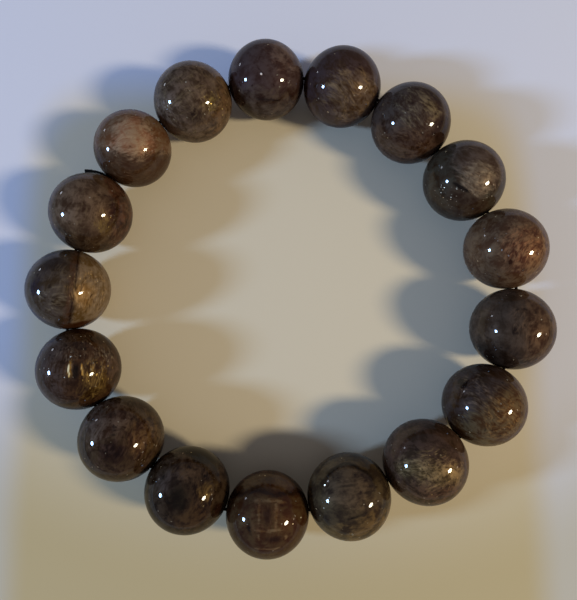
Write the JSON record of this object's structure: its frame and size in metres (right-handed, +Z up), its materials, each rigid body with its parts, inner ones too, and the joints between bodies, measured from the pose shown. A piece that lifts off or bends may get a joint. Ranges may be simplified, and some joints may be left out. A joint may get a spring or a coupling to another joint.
{
  "type": "polished stone bead bracelet",
  "caption": "Stretch bracelet of round polished super seven stone beads on a knotted black elastic cord, lying flat as a closed ring.",
  "frame": {"origin": "on the surface the bracelet lies on, under the middle of the ring's box", "axes": "+Z up out of the surface, which is the direction of the ring's axis; +Y towards the far side of the ring and +X to the right as the ring is looked at from above, with the cord's cut end at the far left"},
  "size_m": [0.0788, 0.0778, 0.0121],
  "materials": {
    "stone_plum": "polished plum-brown stone, opaque with a clear gloss",
    "stone_smoky": "polished smoky grey-brown stone with plumes and streaks",
    "stone_olive": "polished grey-brown stone with olive-gold needles",
    "stone_golden": "polished brown stone with golden glittering fibres",
    "stone_russet": "polished red-brown banded stone",
    "stone_clouded": "polished brown stone with a pale clouded zone",
    "elastic": "black covered elastic, satin"
  },
  "bodies": {
    "root": {"bead_01": "stone_plum", "bead_02": "stone_olive", "bead_03": "stone_smoky", "bead_04": "stone_smoky", "bead_05": "stone_golden", "bead_06": "stone_smoky", "bead_07": "stone_olive", "bead_08": "stone_olive", "bead_09": "stone_olive", "bead_10": "stone_russet", "bead_11": "stone_smoky", "bead_12": "stone_plum", "bead_13": "stone_golden", "bead_14": "stone_golden", "bead_15": "stone_russet", "bead_16": "stone_clouded", "bead_17": "stone_clouded", "elastic_cord": "elastic"}
  },
  "joints": []
}
